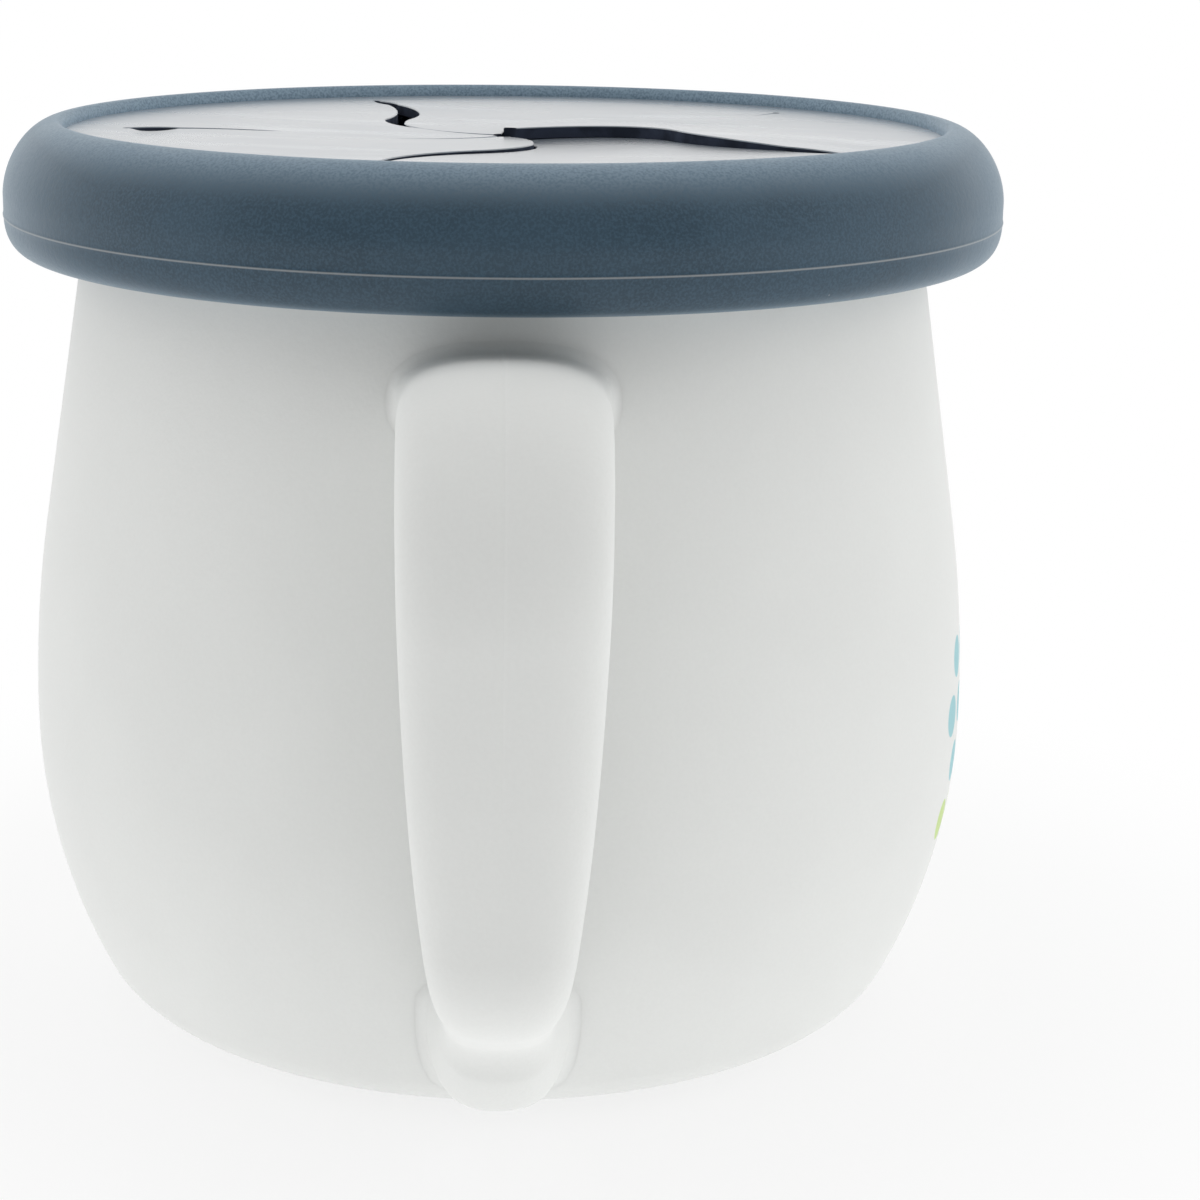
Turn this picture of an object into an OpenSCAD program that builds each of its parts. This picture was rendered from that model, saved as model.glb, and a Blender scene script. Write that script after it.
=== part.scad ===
// Toddler snack cup: a pot-bellied cup with one loop handle, and a stretch lid
// whose thin panel is cut by curved slits into flaps that a small hand pushes open.
// The cup stands on z = 0 with its axis on Z, and the handle points along -Y.

/* [Cup] */
// Largest outer radius of the belly
belly_r = 43.6; // [41:0.2:46]
// Height of the widest place above the base
belly_z = 28; // [22:0.5:34]
// Radius of the side curve below the widest place
low_curve_r = 53; // [48:1:70]
// Radius of the side curve above the widest place
high_curve_r = 115; // [95:1:130]
// Radius of the curve that lifts the edge of the base
sole_r = 20; // [15:0.5:25]
// Slope of the lifted edge where it meets the bottom corner, in degrees
sole_turn = 26; // [18:1:32]
// Radius of the rounded bottom corner
corner_r = 6; // [4.5:0.1:9]
// Lean of the straight neck towards the axis, in degrees
neck_lean = 9.1; // [7:0.1:11]
// Wall and floor thickness
wall = 2.4; // [1.8:0.1:3]
// Height of the cup without its lid
cup_h = 79.2; // [74:0.2:84]
// Height of the thicker rim band
rim_h = 6.4; // [5:0.1:8]
// How far the rim band stands out from the top of the neck
rim_out = 1.0; // [0.6:0.1:1.4]
// Thickness of the rim band
rim_t = 2.0; // [1.6:0.1:2.4]
// Rounding of the rim's top edges
rim_round = 0.7; // [0.3:0.1:0.8]
// Distance from the edge of the flat base in to the middle of its ring groove
groove_in = 4.7; // [3:0.1:8]
// Width of the ring groove
groove_w = 2; // [1:0.1:3]
// Depth of the ring groove
groove_h = 0.6; // [0.3:0.1:0.9]

/* [Handle] */
// Height of the handle's centre line where it leaves the neck
handle_root_z = 63.4; // [60:0.1:64.5]
// Distance from the cup's axis to the handle's outer face
handle_reach = 68; // [64:0.5:74]
// Rise of the upper arm, in degrees
upper_rise = 5; // [0:0.5:7]
// Radius of the upper bend's centre line
upper_bend_r = 12; // [9:0.5:14]
// Lean of the front run towards the cup, in degrees
front_lean = 5; // [2:0.5:8]
// Length of the front run
front_len = 24.2; // [21:0.2:27]
// Radius of the lower bend's centre line
lower_bend_r = 8; // [6:0.5:11]
// Slope of the lower arm below the horizontal, in degrees
lower_slope = 28; // [24:1:34]
// Length of the lower arm
lower_arm_len = 15.5; // [13:0.5:18]
// Radius of the last bend before the wall
root_bend_r = 8; // [6:0.5:10]
// Slope with which the lower arm enters the wall, in degrees
root_slope = 5; // [0:1:10]
// Width of the handle at the top
handle_top_w = 16; // [13:0.2:19]
// Width of the handle at the lower bend
handle_low_w = 9.2; // [7.6:0.2:12]
// Thickness of the handle at the top
handle_top_t = 7.6; // [6:0.2:9]
// Thickness of the handle at the lower bend
handle_low_t = 6.2; // [5:0.2:7]
// Extra width on each side where the upper arm leaves the wall
top_flare = 0.7; // [0.4:0.1:2]
// Length of that flare along the upper arm
top_flare_len = 5; // [3:0.5:9]
// Extra width on each side where the lower arm enters the wall
low_flare = 2; // [0.6:0.1:2.6]
// Extra thickness below the lower arm where it enters the wall
low_drop = 5.5; // [2:0.1:6]
// Length over which the lower arm swells towards the wall
low_flare_len = 8; // [5:0.5:11]

/* [Lid] */
// Thickness of the lid's skirt outside the cup's rim
skirt_t = 5.5; // [4.6:0.1:7]
// Height of the lid, from its lower edge to its crest
lid_h = 11.4; // [10.6:0.1:13]
// How far the lid's lower edge lies below the cup's rim
skirt_drop = 8.4; // [7.4:0.1:8.6]
// Distance from the lid's edge in to its crest line
crest_in = 4.8; // [3.8:0.1:5.4]
// Height of the rounded shoulder below the crest
shoulder_h = 6.4; // [5:0.1:7]
// Roundness of the shoulder, where 2 is an ellipse
shoulder_power = 1.8; // [1.4:0.1:2.4]
// Height of the mould line above the lower edge
flash_z = 3.3; // [2.8:0.1:4]
// How far the mould line stands out
flash_out = 0.12; // [0.05:0.01:0.2]
// Distance from the lid's edge in to the flat of its underside
under_in = 2.5; // [2:0.1:3.5]
// Depth of the panel below the crest
panel_depth = 1.1; // [0.7:0.1:1.6]
// Width of the raised bead between the crest line and the panel
bead_w = 0.7; // [0.4:0.1:1.2]
// Thickness of the panel and its flaps
panel_t = 1.1; // [0.8:0.1:1.4]
// Thickness of the seal lip that hangs inside the mouth
seal_t = 1.2; // [0.9:0.1:1.4]
// Length of the seal lip
seal_h = 3.7; // [2.5:0.1:4.5]
// Radial clearance between the lid and the cup's rim
lid_fit = 0.3; // [0.2:0.05:0.4]

/* [Flaps] */
// Radius of the slit's inner curve
slit_inner_r = 11; // [10:0.2:12]
// Turn of the slit's inner curve, in degrees
slit_inner_turn = 98; // [90:1:102]
// Radius of the slit's outer curve
slit_outer_r = 18.6; // [17.5:0.2:19]
// Turn of the slit's outer curve, in degrees
slit_outer_turn = 58; // [52:1:60]
// Direction of the first slit's end seen from the axis, in degrees
slit_end_angle = 38.1; // [20:0.1:56]
// Width of the gap that the slit leaves between two flaps
slit_gap = 0.4; // [0.3:0.05:0.6]
// Radius of the relief at the slit's outer end
relief_r = 1.1; // [1.1:0.1:1.4]
// Gap between a flap's root and the panel
root_gap = 0.2; // [0.15:0.05:0.3]

/* [Hidden] */
$fn = 96;

frost = "#dfe0de";
slate = "#46586c";
slate_light = "#7c8898";
flap_count = 5;

// Cup: centres of the side curves, and the bottom corner and base curve that run tangent into them
low_curve_x = belly_r - low_curve_r;
high_curve_x = belly_r - high_curve_r;
corner_z = sole_r - (sole_r - corner_r) * cos(sole_turn);
corner_x = low_curve_x + sqrt(pow(low_curve_r - corner_r, 2) - pow(belly_z - corner_z, 2));
corner_start = sole_turn - 90;
corner_end = atan2(corner_z - belly_z, corner_x - low_curve_x);
sole_x = corner_x - (sole_r - corner_r) * sin(sole_turn);
groove_r = sole_x - groove_in;
rim_blend_h = 2;
neck_z = cup_h - rim_h - rim_blend_h;
neck_r = side_r(neck_z, 0);
rim_r = neck_r + rim_out;
mouth_r = rim_r - rim_t;

// Lid: heights and radii follow the cup's rim, which carries it
lid_z = cup_h - skirt_drop;
crest_z = lid_z + lid_h;
panel_top = crest_z - panel_depth;
panel_z = panel_top - panel_t;
bore_r = rim_r + lid_fit;
seal_r = mouth_r - lid_fit;
lid_r = bore_r + skirt_t;
under_r = lid_r - under_in;
crest_r = lid_r - crest_in;
panel_r = crest_r - bead_w;
edge_round = 0.6;

// Slits: two curves that run tangent into each other, from the axis outwards
slit_steps = 9;
slit_raw_end = slit_walk(0, 0)[2 * slit_steps];
slit_start = slit_end_angle - atan2(slit_raw_end.y, slit_raw_end.x);
slit_end_r = norm(slit_raw_end);
hinge_r = slit_end_r * cos(180 / flap_count);
hinge_len = 2 * slit_end_r * sin(180 / flap_count);
hinge_z = panel_z + panel_t / 2;

// Handle: centre line from inside the neck wall, over both bends, into the lower wall
handle_root_y = side_r(handle_root_z, 0) - wall / 2;
upper_bend_y = handle_reach - handle_top_t / 2 - upper_bend_r;
upper_arm_len = (upper_bend_y - upper_bend_r * sin(upper_rise) - handle_root_y) / cos(upper_rise);
upper_arm_end = [handle_root_y + upper_arm_len * cos(upper_rise),
                 handle_root_z + upper_arm_len * sin(upper_rise)];
upper_bend = upper_arm_end - upper_bend_r * left_of(upper_rise);
front_dir = -90 - front_lean;
front_top = upper_bend + upper_bend_r * left_of(front_dir);
front_end = front_top + front_len * along(front_dir);
lower_bend = front_end - lower_bend_r * left_of(front_dir);
lower_dir = -180 + lower_slope;
lower_arm_top = lower_bend + lower_bend_r * left_of(lower_dir);
lower_arm_end = lower_arm_top + lower_arm_len * along(lower_dir);
root_bend = lower_arm_end - root_bend_r * left_of(lower_dir);
root_dir = -180 + root_slope;
root_top = root_bend + root_bend_r * left_of(root_dir);
root_depth = 6;
root_len = (root_top.x - low_side_r(root_top.y)) / cos(root_slope) + root_depth;
section_power = 2.5;
section_sides = 28;
taper_power = 2.2;

function along(a) = [cos(a), sin(a)];
function left_of(a) = [-sin(a), cos(a)];
function arc(c, r, a0, a1, n) = [for (i = [0:n]) c + r * along(a0 + (a1 - a0) * i / n)];
function backwards(v) = [for (i = [len(v) - 1:-1:0]) v[i]];
function signed_pow(v, p) = sign(v) * pow(abs(v), p);

// Quarter of a superellipse with half-axes w and h, from its top to its side
function shoulder(w, h, p, n) =
    [for (i = [0:n]) let (a = 90 * i / n) [w * pow(sin(a), 2 / p), h * pow(cos(a), 2 / p)]];

// Outer radius of the upper side at height z, moved inwards by inset
function side_r(z, inset) =
    let (top = [high_curve_x, belly_z] + (high_curve_r - inset) * along(neck_lean))
    z > top.y ? top.x - (z - top.y) * tan(neck_lean)
              : high_curve_x + sqrt(pow(high_curve_r - inset, 2) - pow(z - belly_z, 2));

// Outer radius of the lower side at height z
function low_side_r(z) = low_curve_x + sqrt(pow(low_curve_r, 2) - pow(z - belly_z, 2));

// Side of the cup from the edge of the floor up to the neck, moved inwards by inset
function side_line(inset, top_z) = concat(
    arc([sole_x, sole_r], sole_r - inset, -90, corner_start, 4),
    arc([corner_x, corner_z], corner_r - inset, corner_start + (corner_end - corner_start) / 6, corner_end, 5),
    arc([low_curve_x, belly_z], low_curve_r - inset, corner_end * 7 / 8, 0, 7),
    arc([high_curve_x, belly_z], high_curve_r - inset, neck_lean / 6, neck_lean, 5),
    [[side_r(top_z, inset), top_z]]);

// A slit from the axis outwards, with the start heading h and moved left by shift
function slit_walk(h, shift) =
    let (c1 = -slit_inner_r * left_of(h))
    let (h2 = h - slit_inner_turn)
    let (join = c1 + slit_inner_r * left_of(h2))
    let (c2 = join + slit_outer_r * left_of(h2))
    concat(
        arc(c1, slit_inner_r + shift, h + 90, h2 + 90, slit_steps),
        [for (i = [1:slit_steps])
            c2 - (slit_outer_r - shift) * left_of(h2 + slit_outer_turn * i / slit_steps)]);

module slit_cut(k) {
    turn = 360 / flap_count * k;
    heading = slit_start + turn;
    end_dir = along(slit_end_angle + turn);
    left_side = slit_walk(heading, slit_gap / 2);
    right_side = slit_walk(heading, -slit_gap / 2);
    translate([0, 0, panel_z - 1])
        linear_extrude(panel_t + 2) polygon(concat(left_side, backwards(right_side)));
    translate([slit_end_r * end_dir.x, slit_end_r * end_dir.y, panel_z - 1])
        cylinder(r = relief_r, h = panel_t + 2);
}

// Full plan of flap k: from the axis along its right slit, across its root, back along its left
function flap_plan(k) = concat(
    slit_walk(slit_start + 360 / flap_count * k, 0),
    backwards([for (i = [1:2 * slit_steps])
        slit_walk(slit_start + 360 / flap_count * (k + 1), 0)[i]]));

module flap(k) {
    root_dir = slit_end_angle + 360 / flap_count * (k + 0.5);
    color(slate_light)
        difference() {
            union() {
                translate([0, 0, panel_z]) linear_extrude(panel_t) polygon(flap_plan(k));
                rotate([0, 0, root_dir])
                    translate([hinge_r, 0, hinge_z])
                        rotate([90, 0, 0])
                            cylinder(d = panel_t, h = hinge_len, center = true);
            }
            slit_cut(k);
            slit_cut(k + 1);
            translate([0, 0, panel_z - 1]) cylinder(r = slit_gap, h = panel_t + 2);
        }
}

module lid_panel() {
    hole_r = (hinge_r + panel_t / 2 + root_gap) / cos(180 / flap_count);
    color(slate_light)
        translate([0, 0, panel_z])
            difference() {
                cylinder(r = panel_r, h = panel_t);
                translate([0, 0, -1])
                    rotate([0, 0, slit_end_angle])
                        cylinder(r = hole_r, h = panel_t + 2, $fn = flap_count);
            }
}

module lid_rim() {
    crest_rise = shoulder(crest_r - panel_r, panel_depth, 2, 4);
    outer = shoulder(lid_r - crest_r, shoulder_h, shoulder_power, 12);
    lower = shoulder(lid_r - under_r, flash_z, 2.3, 8);
    color(slate)
        rotate_extrude($fn = 180)
            polygon(concat(
                backwards([for (p = crest_rise) [crest_r - p.x, crest_z - panel_depth + p.y]]),
                [for (i = [1:12]) [crest_r + outer[i].x, crest_z - shoulder_h + outer[i].y]],
                [[lid_r, lid_z + flash_z + flash_out],
                 [lid_r + flash_out, lid_z + flash_z]],
                [for (i = [8:-1:0]) [under_r + lower[i].x, lid_z + flash_z - lower[i].y]],
                [[bore_r + edge_round, lid_z],
                 [bore_r, lid_z + edge_round],
                 [bore_r, cup_h],
                 [seal_r - seal_t, cup_h],
                 [seal_r - seal_t, panel_z],
                 [panel_r, panel_z]]));
}

module seal_lip() {
    tip = seal_t / 4;
    color(slate)
        rotate_extrude($fn = 180)
            polygon([[seal_r - seal_t, cup_h],
                     [seal_r - seal_t, cup_h - seal_h + tip],
                     [seal_r - seal_t + tip, cup_h - seal_h],
                     [seal_r - tip, cup_h - seal_h],
                     [seal_r, cup_h - seal_h + tip],
                     [seal_r, cup_h]]);
}

module cup_shell() {
    outer = concat(
        [[0, 0],
         [groove_r - groove_w / 2, 0],
         [groove_r - groove_w / 4, groove_h],
         [groove_r + groove_w / 4, groove_h],
         [groove_r + groove_w / 2, 0]],
        side_line(0, neck_z),
        [[rim_r, neck_z + rim_blend_h]],
        arc([rim_r - rim_round, cup_h - rim_round], rim_round, 0, 90, 5),
        arc([mouth_r + rim_round, cup_h - rim_round], rim_round, 90, 180, 5),
        [[mouth_r, neck_z + rim_blend_h]]);
    color(frost)
        rotate_extrude($fn = 180)
            polygon(concat(outer, backwards(side_line(wall, neck_z)), [[0, wall]]));
}

// Distance walked along the handle's centre line at the start of each stretch
walk_1 = upper_arm_len;
walk_2 = walk_1 + upper_bend_r * PI / 180 * (upper_rise - front_dir);
walk_3 = walk_2 + front_len;
walk_4 = walk_3 + lower_bend_r * PI / 180 * (front_dir - lower_dir);
walk_5 = walk_4 + lower_arm_len;
walk_6 = walk_5 + root_bend_r * PI / 180 * (lower_dir - root_dir);
walk_end = walk_6 + root_len;
wall_walk = walk_end - root_depth;

// Stations along the centre line: [outward distance, height, heading, distance walked]
function run(p, a, len, walked, n) =
    [for (i = [0:n - 1]) let (q = p + len * i / n * along(a)) [q.x, q.y, a, walked + len * i / n]];
function bend(c, r, a0, a1, walked, n) =
    [for (i = [0:n - 1]) let (a = a0 + (a1 - a0) * i / n) let (q = c + r * left_of(a))
        [q.x, q.y, a, walked + r * PI / 180 * (a0 - a)]];
stations = concat(
    run([handle_root_y, handle_root_z], upper_rise, upper_arm_len, 0, 6),
    bend(upper_bend, upper_bend_r, upper_rise, front_dir, walk_1, 12),
    run(front_top, front_dir, front_len, walk_2, 7),
    bend(lower_bend, lower_bend_r, front_dir, lower_dir, walk_3, 8),
    run(lower_arm_top, lower_dir, lower_arm_len, walk_4, 7),
    bend(root_bend, root_bend_r, lower_dir, root_dir, walk_5, 5),
    run(root_top, root_dir, root_len, walk_6, 5),
    run(root_top + root_len * along(root_dir), root_dir, 0, walk_end, 1));

// Late taper, and the flares at both roots, which fade away from the wall
function fade(gap, len) = pow(min(1, max(0, 1 - gap / len)), 2);
function top_fade(s) = fade(s - wall / 2, top_flare_len);
function low_fade(s) = fade(wall_walk - s, low_flare_len);
function taper(s) = pow(min(1, max(0, (s - walk_1) / (walk_4 - walk_1))), taper_power);
function half_width(s) = (handle_top_w + (handle_low_w - handle_top_w) * taper(s)) / 2
    + top_flare * top_fade(s) + low_flare * low_fade(s);
function half_thick(s, below) = (handle_top_t + (handle_low_t - handle_top_t) * taper(s)) / 2
    + top_flare / 3 * top_fade(s) + (below ? low_drop : low_flare / 3) * low_fade(s);

function section(st) =
    [for (i = [0:section_sides - 1])
        let (a = 360 * i / section_sides)
        let (u = half_width(st[3]) * signed_pow(cos(a), 2 / section_power))
        let (v = half_thick(st[3], sin(a) > 0) * signed_pow(sin(a), 2 / section_power))
        let (q = [st[0], st[1]] + v * left_of(st[2]))
        [u, -q.x, q.y]];

module handle() {
    last = len(stations) - 1;
    points = [for (st = stations) each section(st)];
    sides = [for (j = [0:last - 1], i = [0:section_sides - 1])
        let (a = j * section_sides + i)
        let (b = j * section_sides + (i + 1) % section_sides)
        each [[a, b, b + section_sides], [a, b + section_sides, a + section_sides]]];
    first_cap = [for (i = [section_sides - 1:-1:0]) i];
    last_cap = [for (i = [0:section_sides - 1]) last * section_sides + i];
    color(frost)
        difference() {
            polyhedron(points, concat(sides, [first_cap, last_cap]));
            rotate_extrude($fn = 180)
                polygon(concat([[0, 0]], side_line(0, neck_z), [[0, neck_z]]));
        }
}

cup_shell();
handle();
lid_rim();
seal_lip();
lid_panel();
flap(0);  // flap_1
flap(1);  // flap_2
flap(2);  // flap_3
flap(3);  // flap_4
flap(4);  // flap_5
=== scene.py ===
"""Toddler snack cup: the finished surfaces of the cup, its handle and its stretch lid, in metres.

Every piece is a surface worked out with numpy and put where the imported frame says. The cup stands on z = 0
with its axis on Z, and the handle points along -Y. Sizes and colours are properties of the scene.
"""

import functools
import math

import bpy
import numpy as np
from bpy.props import FloatProperty, FloatVectorProperty, IntProperty, PointerProperty
from mathutils import Matrix, Vector


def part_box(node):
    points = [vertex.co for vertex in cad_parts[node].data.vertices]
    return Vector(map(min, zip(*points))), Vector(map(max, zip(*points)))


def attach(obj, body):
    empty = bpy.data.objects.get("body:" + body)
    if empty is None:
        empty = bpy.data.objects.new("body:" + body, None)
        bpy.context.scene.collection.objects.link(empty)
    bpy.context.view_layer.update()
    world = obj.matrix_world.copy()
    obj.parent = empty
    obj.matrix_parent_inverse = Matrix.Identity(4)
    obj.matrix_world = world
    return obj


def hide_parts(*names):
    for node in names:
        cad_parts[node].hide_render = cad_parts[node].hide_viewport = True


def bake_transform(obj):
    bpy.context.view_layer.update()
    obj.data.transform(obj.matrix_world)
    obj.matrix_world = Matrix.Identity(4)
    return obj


bl_info = {
    "name": "Toddler snack cup",
    "version": (1, 0, 0),
    "blender": (4, 5, 0),
    "location": "3D View > Sidebar > Snack cup",
    "description": "Builds the finished surfaces of a toddler snack cup round its packed frame",
    "category": "Add Mesh",
}

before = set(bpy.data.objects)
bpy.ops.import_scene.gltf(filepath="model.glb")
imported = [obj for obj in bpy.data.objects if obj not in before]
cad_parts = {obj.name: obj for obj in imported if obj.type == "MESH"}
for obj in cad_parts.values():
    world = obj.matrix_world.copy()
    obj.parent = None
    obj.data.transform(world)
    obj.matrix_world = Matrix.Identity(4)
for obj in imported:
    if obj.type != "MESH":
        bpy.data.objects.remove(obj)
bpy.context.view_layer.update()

MM = 0.001
CUP_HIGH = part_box("cup_shell")[1]
RIM_LOW, RIM_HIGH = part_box("lid_rim")
WEB_LOW, WEB_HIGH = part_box("lid_panel")
LIP_LOW, LIP_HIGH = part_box("seal_lip")
HANDLE_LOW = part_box("handle")[0]
FLAPS = 5
CUP_TURNS, RIM_TURNS, LIP_TURNS = 320, 360, 240
FLAP_ROWS, ROOT_ROWS, FLAP_COLUMNS = 150, 24, 48
WEB_TURNS = FLAPS * FLAP_COLUMNS
HANDLE_ROWS, HANDLE_COLUMNS, FILLET_ROWS = 300, 224, 12
WALK_STEPS, SLIT_STEPS = 8000, 6000
CUP_SHARP, LID_SHARP, CUT_SHARP = np.radians((60, 50, 40))

# Each lamp's place and size.
LAMPS = {
    "left_lamp": ((-0.62, -0.05, 0.2), (0.5, 0.7)),
    "right_lamp": ((0.62, -0.12, 0.2), (0.5, 0.7)),
    "top_lamp": ((0, 0.1, 0.9), (0.9, 0.9)),
    "back_lamp": ((0, 1.1, 0.42), (2.2, 0.8)),
}
# Changes along the floor: the distances from the axis where each starts and ends, then the values there.
FLOOR_SEEN = (0.04, 0.11, 0.72, 1.0)
FLOOR_FAR = (0.08, 0.5, 1.0, 0.62)
FLOOR_FOOT = (0.016, 0.045)
# Changes over the sky: the heights, or the shares of the way back, where each starts and ends.
SKY_RISE = (0.55, 0.9)
SKY_SIDE = (0.3, -0.5)
SKY_MIRROR = (-0.8, 0.3)
# Where most values of a noise texture lie.
NOISE_MIDDLE = (0.3, 0.7)


def number(default, description):
    """A plain number that a user can change."""
    return FloatProperty(default=default, description=description)


def length(millimetres, description):
    """A length that a user can change, written here in millimetres and kept in metres."""
    return FloatProperty(default=millimetres * MM, description=description, unit="LENGTH", precision=5)


def lengths(millimetres, description):
    """Five such lengths, one for each flap or for each slit."""
    return FloatVectorProperty(default=[value * MM for value in millimetres], description=description,
                               size=FLAPS, unit="LENGTH", precision=5)


def angle(degrees, description):
    """An angle that a user can change, written here in degrees."""
    return FloatProperty(default=math.radians(degrees), description=description, subtype="ANGLE")


def tint(default, description):
    """A colour that a user can change, as it looks on a screen, from 0 to 1."""
    return FloatVectorProperty(default=default, description=description, subtype="COLOR_GAMMA", size=3,
                               min=0, max=1)


# ---------------------------------------------------------------- properties


class SnackCupBody(bpy.types.PropertyGroup):
    """Sizes of the cup."""

    belly_z: length(28, "Height of the widest place above the base")
    low_curve_r: length(53, "Radius of the side below the belly")
    high_curve_r: length(115, "Radius of the side above the belly")
    sole_r: length(20, "Radius of the curve that lifts the edge of the base")
    sole_turn: angle(26, "Turn of the curve that lifts the edge of the base")
    corner_r: length(6, "Radius of the rounded bottom corner")
    neck_lean: angle(9.1, "Lean of the neck towards the axis")
    wall: length(2.4, "Thickness of the wall and floor")
    rim_h: length(6.4, "Height of the thicker rim band")
    rim_out: length(1, "How far the rim band stands out")
    rim_t: length(2, "Thickness of the rim band")
    rim_blend: length(2, "Height over which the neck turns into the rim band")
    rim_round: length(0.7, "Rounding of the rim's top edges")
    groove_r: length(22, "Radius of the ring groove under the base")
    groove_w: length(2, "Width of the ring groove")
    groove_h: length(0.6, "Depth of the ring groove")


class SnackCupHandle(bpy.types.PropertyGroup):
    """Sizes of the loop handle. Its centre line runs from the neck, over two bends, into the lower wall."""

    root_z: length(63.4, "Height where the handle leaves the neck")
    upper_rise: angle(5, "Rise of the upper arm")
    upper_bend_r: length(12, "Radius of the upper bend")
    front_lean: angle(5, "Lean of the front run towards the cup")
    front_len: length(24.2, "Length of the front run")
    lower_bend_r: length(8, "Radius of the lower bend")
    lower_slope: angle(28, "Slope of the lower arm")
    lower_arm_len: length(15.5, "Length of the lower arm")
    root_bend_r: length(8, "Radius of the last bend before the wall")
    root_slope: angle(5, "Slope with which the lower arm enters the wall")
    top_w: length(16, "Width at the top")
    low_w: length(9.2, "Width at the lower bend")
    top_t: length(7.6, "Thickness at the top")
    low_t: length(6.2, "Thickness at the lower bend")
    top_flare: length(0.5, "Extra width on each side at the upper root")
    top_flare_len: length(5, "Length of the upper flare")
    low_flare: length(1.3, "Extra width on each side at the lower root")
    low_drop: length(5.5, "How far the lower root reaches down the wall")
    low_flare_len: length(8, "Length of the lower flare")
    top_fillet: length(1.1, "Radius of the soft fillet at the upper root")
    low_fillet: length(1.3, "Radius of the soft fillet at the lower root")
    foot_fillet: length(1.6, "What that fillet gains under the root")
    seam_h: length(0.03, "Height of the parting line down the middle")
    seam_w: length(0.16, "Half width of the parting line")
    section_power: number(2.5, "Form of the section: 2 is an ellipse, more is squarer")
    taper_even: number(0.3, "Share of the narrowing that is even")
    taper_power: number(3.7, "How late the rest of the narrowing comes")


class SnackCupLid(bpy.types.PropertyGroup):
    """Sizes of the lid's rim, lip and web."""

    crest_in: length(4.8, "Distance from the lid's edge in to its crest line")
    shoulder_h: length(6.4, "Height of the rounded shoulder")
    shoulder_power: number(1.8, "Roundness of the shoulder")
    lower_power: number(2.3, "Roundness of the lower side")
    flash_z: length(3.3, "Height of the mould line above the lower edge")
    flash_out: length(0.12, "How far the solid's mould line stands out")
    flash_h: length(0.07, "Height of the mould line")
    flash_w: length(0.13, "Half width of the mould line")
    under_in: length(2.5, "Distance from the lid's edge in to its flat underside")
    skirt_t: length(5.5, "Thickness of the skirt outside the cup's rim")
    seal_t: length(1.2, "Thickness of the seal lip")
    tuck: length(0.3, "How far the web reaches into the rim")
    edge: length(0.3, "Rounding of the small edges")


class SnackCupFlaps(bpy.types.PropertyGroup):
    """Sizes of the curved slits, and how each flap lies at rest. Lists of five go from flap_1 to flap_5."""

    inner_r: length(11, "Radius of the slit's inner curve")
    inner_turn: angle(98, "Turn of the slit's inner curve")
    outer_r: length(18.6, "Radius of the slit's outer curve")
    outer_turn: angle(58, "Turn of the slit's outer curve")
    end_angle: angle(38.1, "Direction of the first slit's end seen from the axis")
    gap: length(0.16, "Width of a slit where the flaps lie closed")
    relief: length(0.34, "Radius of the relief at a slit's outer end")
    lens_len: length(4.6, "Length of the opening at a slit's outer end")
    bevel: length(0.09, "Rounding of the cut edges")
    bend_len: length(9, "Length over which a flap bends at its root")
    slit_turn: FloatVectorProperty(
        size=FLAPS, default=(-0.005, 0.037, 0.001, -0.04, -0.005),
        description="How far each slit lies turned from its even place, in radians")
    lens_w: lengths((0.1, 0.42, 0.7, 0.6, 0.5), "Half width of the opening at each slit's outer end")
    tip_r: lengths((1, 1, 1, 1.2, 1.3), "Distance from the axis to each flap's blunt tip")
    tip_rise: lengths((-0.45, -0.5, -0.55, -1.05, 0.1), "Height of each flap's tip above the panel")
    first_bulge: lengths((0, 0.05, 0.08, 0, 0.65), "Height of the bulge along each flap's first edge")
    last_bulge: lengths((-0.1, 0, 0, 0.2, 0.05), "Height of the bulge along each flap's last edge")
    end_drop: lengths((0, 0, 0.25, 0, 0), "How far each first edge lies sunk near its slit's outer end")
    first_open: lengths((0, 2.1, 0.02, 0.85, 0.15), "How far each first edge has drawn back from its slit")
    last_open: lengths((-0.5, 0.02, -0.5, 0.12, 0), "How far each last edge has drawn back from its slit")


class SnackCupFinish(bpy.types.PropertyGroup):
    """Colours and finishes."""

    frost: tint((0.875, 0.88, 0.872), "Frosted white silicone of the cup")
    slate: tint((0.196, 0.274, 0.33), "Slate silicone of the lid's rim")
    # Painted light: a paler colour laid on the rim's crest, upward faces, inner side and slanted faces, in
    # place of light from above and glancing reflection.
    painted_light: tint((0.48, 0.56, 0.62), "Pale bloom of the rim's blasted surface")
    # Painted reflection: the panel's slate is set lighter than the rim's, in place of the bright glancing
    # reflection of its glossy face.
    panel: tint((0.33, 0.385, 0.435), "Slate silicone of the lid's thin panel")
    cut: tint((0.2, 0.225, 0.28), "Cut sides of the slits")
    teal: tint((0.42, 0.72, 0.76), "Colour of the printed dots")
    lime: tint((0.7, 0.82, 0.36), "Colour of the lowest row of dots")
    dot_pitch: length(5, "Distance between the printed dots")
    dot_r: length(2, "Radius of a printed dot")
    print_low: length(17.6, "Lower edge of the print")
    print_rows: IntProperty(default=4, description="Number of rows of dots")
    print_middle: angle(17, "Direction of the middle of the print")
    print_half: angle(38, "Half width of the print, seen from the axis")


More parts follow.
